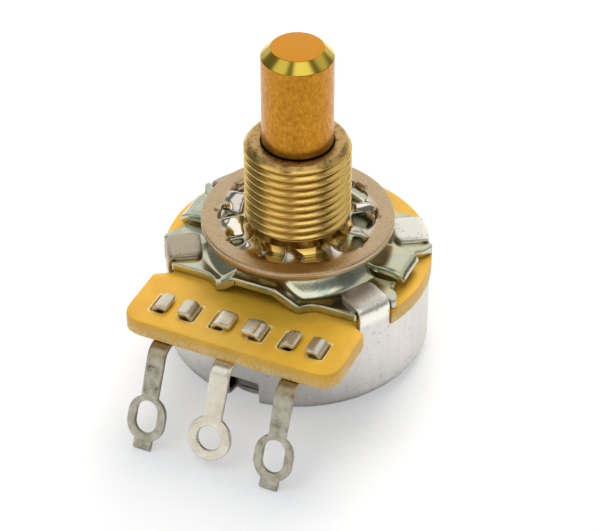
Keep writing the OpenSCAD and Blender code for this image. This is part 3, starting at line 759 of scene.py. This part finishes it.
lugs = {
    "root": -9.4, "neckY": -13.6, "edgeY": -15.1, "rootHalf": 1.2, "bend": 1.5, "slope": 66, "edge": 0.09,
    "spacing": 0.25, "collectorIn": 4.35, "collectorOut": 5.95, "shoulder": 0.4, "taperRun": 0.6,
    "prongHalf": 1.0, "prongOut": 1.95, "prongFoot": 0.55, "prongSink": 0.15, "prongCurl": 0.75,
    "prongTurn": 95, "prongLip": 0.65, "prongY": -12.2, "prongStart": 0.9, "prongSpacing": 0.22,
}
outerLug = {
    "half": 0.85, "neckHalf": 0.8, "run": 5.4, "long": True, "spread": 0, "outerHalf": 1.8,
    "outerShift": 0.35, "setDown": 0.15, "slotHalf": 1.0, "slotShift": 0.5, "tipHalf": 0.85, "tip": 0.35,
    "lip": 0.2, "lipTurn": 35, "lipBend": 0.1, "tin": "#C2BCAC", "worn": "#A09A88", "spot": "#6E6250",
    "paintedBendReflection": "#B49A66", "bendLow": 6.3, "bendHigh": 7.3, "paintedProngHighlight": "#DCD6C6", "patchPerMm": 1.1,
    "scratchPerMm": 5.0, "scratchDepth": 0.003,
}
middleLug = {
    "half": 0.9, "neckHalf": 0.84, "run": 5.6, "long": False, "spread": 0.45, "roundHalf": 2.025,
    "roundHole": 1.125, "silver": "#E9E3D3", "shade": "#DDD5C3", "patchPerMm": 0.8, "pitPerMm": 3.2,
    "pit": "#8C7C66", "grainPerMm": 7.0, "grainDepth": 0.0003,
}


def lugTinMaterial():
    # Brass strip, punched and hot tinned: grey with an olive cast, dull, small scratches; a painted
    # reflection of the yellow wafer on the bend just below it, and a painted highlight on the prongs
    t = outerLug
    material, tree, shader, place = startMaterial("tinned brass")
    tinned = mottling(tree, place, t["patchPerMm"], 5.0, roughness=0.6,
                      stops=[(0.3, t["spot"]), (0.38, t["worn"]), (0.6, t["tin"])])
    height = axisParts(tree, place)[1]
    # Painted reflection of the yellow wafer on the bend just below it
    bendReflectionShare = addNode(tree, "MapRange",
                     {0: height, "From Min": t["bendLow"], "From Max": t["bendHigh"], "To Max": 0.7})
    below = addNode(tree, "Math", {"operation": "LESS_THAN", 0: height, 1: waferBottom})
    # Painted highlight: the prongs above the wafer are painted paler
    prongHighlightShare = addNode(tree, "Math", {"operation": "GREATER_THAN", 0: height, 1: waferTop - 0.3})
    scratches = mottling(tree, place, t["scratchPerMm"], 3.0, (2.2, 0.35, 0.35))
    setNode(tree, shader, {
        "Base Color": layered(tree, tinned, (product(tree, bendReflectionShare, below), t["paintedBendReflection"]),
                              (prongHighlightShare, t["paintedProngHighlight"])),
        "Roughness": addNode(tree, "ValToRGB", {0: scratches, "stops": [(0.3, 0.42), (0.7, 0.3)]}),
        "Metallic": 1.0, "Normal": raised(tree, scratches, t["scratchDepth"])})
    return material


def lugSilverMaterial():
    # Brass strip, punched and silver plated: pale and bright with small dark pits
    m = middleLug
    material, tree, shader, place = startMaterial("silver plate")
    plated = mottling(tree, place, m["patchPerMm"], 4.0, stops=[(0.36, m["shade"]), (0.6, m["silver"])])
    pits = mottling(tree, place, m["pitPerMm"], 3.0, roughness=0.7, stops=[(0.68, 0.0), (0.76, 0.5)])
    grain = mottling(tree, place, m["grainPerMm"], 4.0)
    setNode(tree, shader, {
        "Base Color": layered(tree, plated, (pits, m["pit"])),
        "Roughness": addNode(tree, "ValToRGB", {0: grain, "stops": [(0.3, 0.36), (0.7, 0.24)]}),
        "Metallic": 1.0, "Normal": raised(tree, grain, m["grainDepth"])})
    return material


def bentPath(parts, x):
    # How far along and how high a strip comes after a distance on it. Its parts are straight, (length,), or
    # bent, (length, radius), downwards where the radius is above 0
    along, height, angle = 0.0, 0.0, 0.0
    for part in parts:
        last = part is parts[-1]
        length = x if last else min(x, part[0])
        if len(part) == 1 or length < 0:
            along += length * math.cos(angle)
            height -= length * math.sin(angle)
        else:
            turn = length / part[1]
            along += part[1] * (math.sin(angle + turn) - math.sin(angle))
            height -= part[1] * (math.cos(angle) - math.cos(angle + turn))
            angle += turn
        x -= length
        if x <= 0 and not last:
            break
    return along, height


def eyeReach(lug):
    # Distance along the strip from its root to the middle of the eye
    return lugs["root"] - lugs["edgeY"] + math.radians(lugs["slope"]) * lugs["bend"] + lug["run"]


def tipReach(lug):
    return eyeReach(lug) + lug["setDown"] + lug["outerShift"] + lug["outerHalf"] + lug["tip"]


def roundEye(lug):
    # Outline of the strip's end and its hole
    middle = eyeReach(lug)
    opening = math.degrees(math.asin(lug["neckHalf"] / lug["roundHalf"]))
    side = arcCorners((middle, 0), lug["roundHalf"], -180 + opening, 180 - opening, 40, 0.5, 0.5)
    return side, arcPoints((middle, 0), lug["roundHole"], 0, 360, 48)[:-1]


def longEye(lug):
    # Outline of the strip's end, with its bent tip, and its hole
    middle = eyeReach(lug)
    opening = math.degrees(math.asin(lug["neckHalf"] / lug["outerHalf"]))
    closing = math.degrees(math.asin(lug["tipHalf"] / lug["outerHalf"]))
    outerMiddle = middle + lug["setDown"]
    end = tipReach(lug) + math.radians(lug["lipTurn"]) * lug["lipBend"] + lug["lip"]
    right = arcCorners((outerMiddle - lug["outerShift"], 0), lug["outerHalf"], -180 + opening, -90, 12, 0.6)
    right += arcCorners((outerMiddle + lug["outerShift"], 0), lug["outerHalf"], -90, -closing, 12, 0, 0.2)
    right.append((end, -lug["tipHalf"], 0.12))
    side = right + [(x, -y, r) for x, y, r in reversed(right)]
    hole = arcPoints((middle + lug["slotShift"], 0), lug["slotHalf"], -90, 90, 16)
    hole += arcPoints((middle - lug["slotShift"], 0), lug["slotHalf"], 90, 270, 16)
    return side, hole


def buildLug(name, offset, top, lug, material, nodes):
    g = lugs
    flatLength = g["root"] - g["edgeY"]
    bendLength = math.radians(g["slope"]) * g["bend"]
    parts = [(flatLength,), (bendLength, g["bend"]), (lug["run"],)]
    if lug["long"]:
        parts[2:] = [(tipReach(lug) - flatLength - bendLength,),
                     (math.radians(lug["lipTurn"]) * lug["lipBend"], -lug["lipBend"]), (lug["lip"],)]

    def surface(x, y):
        along, height = bentPath(parts, x)
        return Vector((offset + y, g["root"] - along, top + height))

    eyeSide, eyeHole = longEye(lug) if lug["long"] else roundEye(lug)
    waist = g["root"] - g["neckY"]
    rootHalf, half = g["rootHalf"], lug["half"]
    taperEnd = flatLength + bendLength + g["taperRun"]
    strip = [(waist - g["shoulder"], -rootHalf, 0.3), (waist, -half, 0.3), (taperEnd, -half, 1.0)] + eyeSide
    strip += [(taperEnd, half, 1.0), (waist, half, 0.3), (waist - g["shoulder"], rootHalf, 0.3)]
    holes = [eyeHole]
    if lug["long"]:
        strip += [(0, rootHalf, 0.2), (0, -rootHalf, 0.2)]
    else:
        opening = math.degrees(math.asin(rootHalf / g["collectorOut"]))
        strip += arcCorners((g["root"], 0), g["collectorOut"], opening, 360 - opening, 60, 0.3, 0.3)
        holes.append(arcPoints((g["root"], 0), g["collectorIn"], 0, 360, 60)[:-1])
    shape = newShape()
    addTo(shape, *sheet(roundedLoop(strip), holes, lugStock, g["edge"], g["spacing"], surface))
    for side in (1, -1):
        addTo(shape, *lugProng(offset, top - lugStock, side, lug["spread"]))
    finishPiece(name, shape, material, "case", nodes)


def lugProng(offset, bottom, side, spread):
    # Runs out under the wafer, up through its slot and bends over towards its partner
    g = lugs
    foot, curl, half, start = g["prongFoot"], g["prongCurl"], g["prongHalf"], g["prongStart"]
    parts = [(g["prongOut"] + spread - foot,), (math.pi / 2 * foot, -foot),
             (waferTop - g["prongSink"] - bottom - foot,), (math.radians(g["prongTurn"]) * curl, -curl),
             (g["prongLip"] + spread,)]
    length = sum(part[0] for part in parts)

    def surface(x, y):
        along, height = bentPath(parts, x)
        return Vector((offset + side * along, g["prongY"] - side * y, bottom + height))

    outline = roundedLoop([(start, -half, 0.1), (length, -half, 0.3), (length, half, 0.3),
                           (start, half, 0.1)])
    return sheet(outline, [], lugStock, g["edge"], g["prongSpacing"], surface)


# Dust cover

cover = {
    "edge": 0.75, "fold": 0.8, "tabHalf": 1.65, "tabEnd": 8.7, "tabCorner": 0.8, "cutEdge": 0.1,
    "spacing": 0.42, "rimGapHalf": 8.4, "rimGapHeight": 0.91, "stopHalf": 1.55, "stopHeight": 2.55,
    "stopIn": 10.35, "stopTall": 2.9, "stopEdge": 0.08, "stopSpacing": 0.5, "tabRoot": 1.5,
    "floorOverlap": 1.2, "floorSpacing": 1.2, "tin": "#DAD8D4", "shade": "#D1CEC9", "speck": "#86705A",
    "tabTone": "#BBAE99", "paintedTabReflection": "#F2EEE4", "scratch": "#5E5348", "inside": "#96918A",
    "drawPerMm": 1.2, "speckPerMm": 2.6, "scratchPerMm": 2.6, "pitPerMm": 5.0, "pitDepth": 0.01,
    "lowBand": 1.3, "tabLow": 8.2, "tabHigh": 8.75,
}


def coverTinMaterial():
    # Tin-plated steel, deep drawn: pale grey with faint draw marks, brown specks where the tin is thin; the
    # folded tabs are warmer, with a painted reflection that makes them paler towards the right, and small
    # dark scratches; the inner face below the wafer is painted darker as shade
    c = cover
    material, tree, shader, place = startMaterial("drawn tin plate")
    reach, height = axisParts(tree, place)
    wall = mottling(tree, place, c["drawPerMm"], 3.0, (1, 1, 0.12),
                    stops=[(0.25, c["shade"]), (0.75, c["tin"])])
    onTab = addNode(tree, "MapRange", {0: height, "From Min": c["tabLow"], "From Max": c["tabHigh"]})
    # Painted reflection: the tabs grade paler from left to right
    aside = addNode(tree, "SeparateXYZ", {0: place})
    cleaner = addNode(tree, "MapRange", {0: aside, "From Min": -4, "From Max": 4})
    specks = mottling(tree, place, c["speckPerMm"], 5.0, roughness=0.75, stops=[(0.605, 0.0), (0.66, 0.7)])
    scratches = mottling(tree, place, c["scratchPerMm"], 5.0, (1.6, 0.7, 1), 0.75, [(0.6, 0.0), (0.65, 0.7)])
    # The inner face lies a sheet's thickness inside the wall; below the wafer it is painted darker as shade,
    # the stop too
    inner = addNode(tree, "Math", {"operation": "LESS_THAN", 0: reach, 1: coverRadius - coverStock + 0.02})
    below = addNode(tree, "Math", {"operation": "LESS_THAN", 0: height, 1: waferBottom})
    above = addNode(tree, "Math", {"operation": "GREATER_THAN", 0: height, 1: coverStock / 2})
    # The foot of the wall is pitted most
    low = addNode(tree, "MapRange", {0: height, "From Min": c["lowBand"], "From Max": c["lowBand"] * 0.4,
                                     "To Min": 0.2})
    pits = mottling(tree, place, c["pitPerMm"], 4.0, roughness=0.7)
    setNode(tree, shader, {
        "Base Color": layered(
            tree, wall, (onTab, layered(tree, c["tabTone"], (cleaner, c["paintedTabReflection"]))), (specks, c["speck"]),
            (product(tree, scratches, onTab), c["scratch"]),
            (product(tree, inner, below, above), c["inside"])),
        "Roughness": addNode(tree, "ValToRGB", {0: pits, "stops": [(0.3, 0.42), (0.7, 0.36)]}),
        "Metallic": 1.0, "Normal": raised(tree, product(tree, pits, low), c["pitDepth"])})
    return material


def coverSurface(x, y):
    # The blank is the wall laid out flat round the axis, with its tabs pointing in
    c = cover
    reach, angle = math.hypot(x, y), math.atan2(y, x)
    outward = Vector((math.cos(angle), math.sin(angle), 0))
    if reach >= coverRadius:
        height = coverTop - c["fold"] - (reach - coverRadius)
        if height >= c["edge"]:
            return outward * coverRadius + Vector((0, 0, height))
        turn = (c["edge"] - height) / c["edge"]
        if turn <= math.pi / 2:
            radius = coverRadius - c["edge"] * (1 - math.cos(turn))
            return outward * radius + Vector((0, 0, c["edge"] * (1 - math.sin(turn))))
        return outward * (coverRadius - c["edge"] - (turn - math.pi / 2) * c["edge"])
    turn = min(tabTurns, key=lambda t: abs((math.degrees(angle) - t + 180) % 360 - 180))
    axis = Vector((math.cos(math.radians(turn)), math.sin(math.radians(turn)), 0))
    across = Vector((-axis.y, axis.x, 0))
    side, along = across.x * x + across.y * y, axis.x * x + axis.y * y
    wall = math.sqrt(coverRadius ** 2 - side ** 2)
    gone = wall - along
    bend = min(math.pi / 2, gone / c["fold"])
    out = wall - c["fold"] * (1 - math.cos(bend)) - max(0.0, gone - c["fold"] * math.pi / 2)
    return axis * out + across * side + Vector((0, 0, coverTop - c["fold"] * (1 - math.sin(bend))))


def buildCover():
    c = cover
    bottomTurn = c["edge"] * math.pi / 2
    blankBottom = coverRadius + coverTop - c["fold"] - c["edge"] + bottomTurn
    rim = coverRadius + coverTop - c["fold"] - waferBottom
    tabReach = c["fold"] * math.pi / 2 + coverRadius - c["fold"] - c["tabEnd"]
    corners = []
    gapAngle = math.degrees(math.asin(c["rimGapHalf"] / coverRadius))
    for i, turn in enumerate(tabTurns):
        half = c["tabHalf"]
        wallSide = half * rim / coverRadius
        wallReach = math.sqrt(coverRadius ** 2 - half ** 2)
        for along, side, r in ((math.sqrt(rim ** 2 - wallSide ** 2), -wallSide, 0.25), (wallReach, -half, 0),
                               (coverRadius - tabReach, -half, c["tabCorner"]),
                               (coverRadius - tabReach, half, c["tabCorner"]), (wallReach, half, 0),
                               (math.sqrt(rim ** 2 - wallSide ** 2), wallSide, 0.25)):
            corners.append((*placeAt(along, side, turn), r))
        lean = math.degrees(math.asin(wallSide / rim)) + c["tabRoot"]
        following = tabTurns[(i + 1) % 4] + (360 if i == 3 else 0)
        if i == 2:
            # At the front the rim is lower, and the wafer's tongue and the lugs come out there
            low = 270 - gapAngle
            corners += arcCorners((0, 0), rim, turn + lean, low, 6)
            corners += arcCorners((0, 0), rim + c["rimGapHeight"], low, 540 - low, 30, 0.2, 0.2)
            corners += arcCorners((0, 0), rim, 540 - low, following - lean, 6)
        else:
            corners += arcCorners((0, 0), rim, turn + lean, following - lean, 30)
    # The window that the stop is lanced from, in the wall on the lugs' side
    stopTop = coverRadius + coverTop - c["fold"] - c["stopHeight"]
    stopLow = blankBottom + coverRadius - c["edge"] - c["stopIn"]
    stopTurn = math.degrees(math.asin(c["stopHalf"] / coverRadius))
    window = [(stopTop, -stopTurn), (stopTop, stopTurn), (stopLow, stopTurn), (stopLow, -stopTurn)]
    window = roundedLoop([(r * math.cos(math.radians(a - 90)), r * math.sin(math.radians(a - 90)), 0.3)
                          for r, a in window])
    outer = arcPoints((0, 0), blankBottom + c["floorOverlap"], 0, 360, 180)[:-1]
    shape = newShape()
    addTo(shape, *sheet(outer, [roundedLoop(corners), window], coverStock, c["cutEdge"], c["spacing"],
                        coverSurface, openLoops=(0,)))
    inner = coverRadius - c["edge"] - c["floorOverlap"]
    disc = arcPoints((0, 0), inner, 0, 360, 360)[:-1]
    points, faces = sheet(disc, [], coverStock, c["cutEdge"], c["floorSpacing"],
                          lambda x, y: Vector((x, -y, 0)), openLoops=(0,))
    addTo(shape, points, faces)
    stop = [(-c["stopHalf"], 0.02, 0.1), (c["stopHalf"], 0.02, 0.1), (c["stopHalf"], c["stopTall"], 0.3),
            (-c["stopHalf"], c["stopTall"], 0.3)]
    addTo(shape, *sheet(roundedLoop(stop), [], coverStock, c["stopEdge"], c["stopSpacing"],
                        lambda x, y: Vector((x, -c["stopIn"], y))))
    finishPiece("drawn_cover", shape, coverTin, "case", ["dust_cover"])


# Pieces inside the case

# Name, pale and deep colour, metallic, roughness and grains to the millimetre
insideLooks = {
    "carbon_track": ("printed carbon", "#2B2926", "#1B1A18", 0.0, 0.55, 6.0),
    "left_end_film": ("printed silver", "#CFCBC2", "#A9A498", 0.6, 0.45, 6.0),
    "right_end_film": ("printed silver", "#CFCBC2", "#A9A498", 0.6, 0.45, 6.0),
    "retaining_ring": ("blued spring steel", "#84827E", "#5E5C59", 1.0, 0.35, 5.0),
    "driver": ("moulded acetal", "#E9E4D3", "#DDD6C2", 0.0, 0.42, 2.0),
    "contact_spring": ("phosphor bronze", "#D09A68", "#B27C4C", 1.0, 0.3, 5.0),
}
insideGrainDepth = 0.004


def insideMaterial(name, light, deep, metallic, roughness, perMm):
    # A moulded, printed or stamped surface with its own grain
    material, tree, shader, place = startMaterial(name)
    grain = mottling(tree, place, perMm, 4.0)
    setNode(tree, shader, {
        "Base Color": addNode(tree, "ValToRGB", {0: grain, "stops": [(0.3, deep), (0.7, light)]}),
        "Roughness": addNode(tree, "ValToRGB",
                             {0: grain, "stops": [(0.3, roughness + 0.08), (0.7, roughness)]}),
        "Metallic": metallic, "Normal": raised(tree, grain, insideGrainDepth)})
    return material


def dressInside():
    made = {}
    for node, look in insideLooks.items():
        if look[0] not in made:
            made[look[0]] = insideMaterial(*look)
        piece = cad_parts[node]
        piece.data.materials.clear()
        piece.data.materials.append(made[look[0]])


print("making the materials")
shaftBrass = shaftBrassMaterial()
bushingBrass = bushingBrassMaterial()
washerSteel = washerSteelMaterial()
plateZinc = plateZincMaterial()
phenolic = phenolicMaterial()
lugTin = lugTinMaterial()
lugSilver = lugSilverMaterial()
coverTin = coverTinMaterial()

print("building the pieces")
buildShaft()
buildBushing()
buildWasher()
buildPlate()
buildWafer()
buildLug("left_lug_strip", -lugPitch, filmBottom, outerLug, lugTin, ["left_lug"])
buildLug("right_lug_strip", lugPitch, filmBottom, outerLug, lugTin, ["right_lug"])
buildLug("middle_lug_strip", 0, waferBottom, middleLug, lugSilver, ["centre_lug"])
buildCover()

print("dressing the pieces inside the case")
dressInside()


# Floor

# The part lies on its two outer lugs and the far edge of its cover, so the floor is tilted to the part
floorPlan = {"lugTip": (6.9, -19.9, -1.45), "coverBack": (0, 11.6, 0.0), "half": 600, "tone": "#FDFDFC",
             "roughness": 0.9, "glow": 0.42, "grainPerMm": 0.6, "grainDepth": 0.01}


def paperMaterial():
    # Matt white paper: it keeps the part's shadow and looks white to the camera
    f = floorPlan
    material, tree, shader, place = startMaterial("matt paper")
    setNode(tree, shader, {"Base Color": f["tone"], "Roughness": f["roughness"],
                           "Normal": raised(tree, mottling(tree, place, f["grainPerMm"]), f["grainDepth"])})
    glow = addNode(tree, "Emission", {"Color": f["tone"]})
    seen = addNode(tree, "LightPath", {}, "Is Camera Ray")
    both = addNode(tree, "MixShader",
                   {0: product(tree, seen, f["glow"]), 1: shader.outputs[0], 2: glow})
    output = next(node for node in tree.nodes if node.type == "OUTPUT_MATERIAL")
    tree.links.new(both, output.inputs[0])
    return material


def buildFloor():
    f = floorPlan
    tip, back = Vector(f["lugTip"]), Vector(f["coverBack"])
    along = Vector((0, back.y - tip.y, back.z - tip.z)).normalized() * f["half"]
    across = Vector((f["half"], 0, 0))
    corners = [back + across * a + along * b for a, b in ((-1, -1), (1, -1), (1, 1), (-1, 1))]
    mesh = bpy.data.meshes.new("floor")
    mesh.from_pydata([corner / perMetre for corner in corners], [], [(0, 1, 2, 3)])
    mesh.materials.append(paperMaterial())
    floor = bpy.data.objects.new("floor", mesh)
    bpy.context.scene.collection.objects.link(floor)


# World and lamps

# Each patch that the metal mirrors has its azimuth and half width, its elevation and half height, a soft
# edge and a level
room = {
    "light": "#EAF2FF", "strength": 0.48, "mirrored": "#FDFDFB", "dark": 0.18,
    "patches": {
        "pale wall behind": (114.5, 44, 28, 22, 12, 1.08), "window at the right": (-46, 33, 61, 22, 8, 1.45),
        "lamp at the left": (-130, 20, 52, 18, 8, 1.1), "low pale front": (-109, 34, 0, 22, 14, 0.86),
        "side wall": (45, 25, 48, 20, 12, 0.8)},
    "lamps": {
        "key": {"place": (-30, 205, 260), "size": 200, "watts": 1.04, "tone": "#FFF8EE"},
        "top": {"place": (-70, -110, 290), "size": 220, "watts": 0.26, "tone": "#FFFFFF"}},
    "lampAim": (0, 0, 8),
}


def buildWorld():
    # An even room lights the part; its metal mirrors a darker room with pale patches
    world = bpy.data.worlds.new("studio")
    world.use_nodes = True
    tree = world.node_tree
    tree.nodes.clear()
    direction = addNode(tree, "TexCoord", {}, "Generated")
    split = addNode(tree, "SeparateXYZ", {0: direction}).node
    turn = addNode(tree, "Math", {"operation": "ARCTAN2", 0: split.outputs[1], 1: split.outputs[0]})
    rise = addNode(tree, "Math", {"operation": "ARCSINE", 0: split.outputs[2]})
    azimuth = addNode(tree, "Math", {"operation": "DEGREES", 0: turn})
    elevation = addNode(tree, "Math", {"operation": "DEGREES", 0: rise})
    brightest = room["dark"]
    for aside, halfWidth, up, halfHeight, soft, level in room["patches"].values():
        shares = [level]
        for angle, middle, half in ((azimuth, aside, halfWidth), (elevation, up, halfHeight)):
            off = addNode(tree, "Math", {"operation": "SUBTRACT", 0: angle, 1: middle})
            away = addNode(tree, "Math", {"operation": "ABSOLUTE", 0: off})
            shares.append(addNode(tree, "MapRange", {0: away, "From Min": half + soft, "From Max": half}))
        brightest = addNode(tree, "Math", {"operation": "MAXIMUM", 0: product(tree, *shares), 1: brightest})
    even = addNode(tree, "Background", {"Color": room["light"], "Strength": room["strength"]})
    mirrored = addNode(tree, "Background", {"Color": room["mirrored"], "Strength": brightest})
    plain = addNode(tree, "Background", {"Color": room["mirrored"]})
    path = addNode(tree, "LightPath").node
    inMetal = addNode(tree, "MixShader", {0: path.outputs["Is Glossy Ray"], 1: even, 2: mirrored})
    seen = addNode(tree, "MixShader", {0: path.outputs["Is Camera Ray"], 1: inMetal, 2: plain})
    tree.links.new(seen, tree.nodes.new("ShaderNodeOutputWorld").inputs[0])
    bpy.context.scene.world = world


def addLamp(name, look):
    lamp = bpy.data.lights.new(name, "AREA")
    lamp.shape = "SQUARE"
    lamp.size = look["size"] / perMetre
    lamp.energy = look["watts"]
    lamp.color = linearFromHex(look["tone"])[:3]
    stand = bpy.data.objects.new(name, lamp)
    bpy.context.scene.collection.objects.link(stand)
    stand.location = Vector(look["place"]) / perMetre
    stand.rotation_mode = "QUATERNION"
    stand.rotation_quaternion = (Vector(room["lampAim"]) - Vector(look["place"])).to_track_quat("-Z", "Y")
    stand.visible_glossy = False  # the metal mirrors the room's patches instead


print("setting the floor and the lamps")
buildFloor()
buildWorld()
for lampName, lampLook in room["lamps"].items():
    addLamp(lampName, lampLook)


# Camera

# It looks down from the front and a little to the right, at the photograph's angle
viewpoint = {"azimuth": 24.466, "elevation": 38.665, "distance": 212.529, "roll": -0.094,
             "shift": (0.185, -2.425), "aimHeight": 10, "lens": 141.70, "sensor": 36}


def buildCamera():
    v = viewpoint
    azimuth, elevation = math.radians(v["azimuth"]), math.radians(v["elevation"])
    back = Vector((math.sin(azimuth) * math.cos(elevation), -math.cos(azimuth) * math.cos(elevation),
                   math.sin(elevation)))
    right = Vector((math.cos(azimuth), math.sin(azimuth), 0))
    up = back.cross(right)
    target = Vector((0, 0, v["aimHeight"])) + right * v["shift"][0] + up * v["shift"][1]
    roll = math.radians(v["roll"])
    tiltedRight = right * math.cos(roll) + up * math.sin(roll)
    tiltedUp = up * math.cos(roll) - right * math.sin(roll)
    camera = bpy.data.cameras.new("camera")
    camera.lens = v["lens"]
    camera.sensor_width = v["sensor"]
    camera.clip_start = 0.01
    camera.clip_end = 5
    holder = bpy.data.objects.new("camera", camera)
    bpy.context.scene.collection.objects.link(holder)
    turn = Matrix((tiltedRight, tiltedUp, back)).transposed().to_4x4()
    holder.matrix_world = Matrix.Translation((target + back * v["distance"]) / perMetre) @ turn
    bpy.context.scene.camera = holder


print("setting the camera")
buildCamera()
bpy.context.scene.view_settings.view_transform = "Standard"

print("finishing")
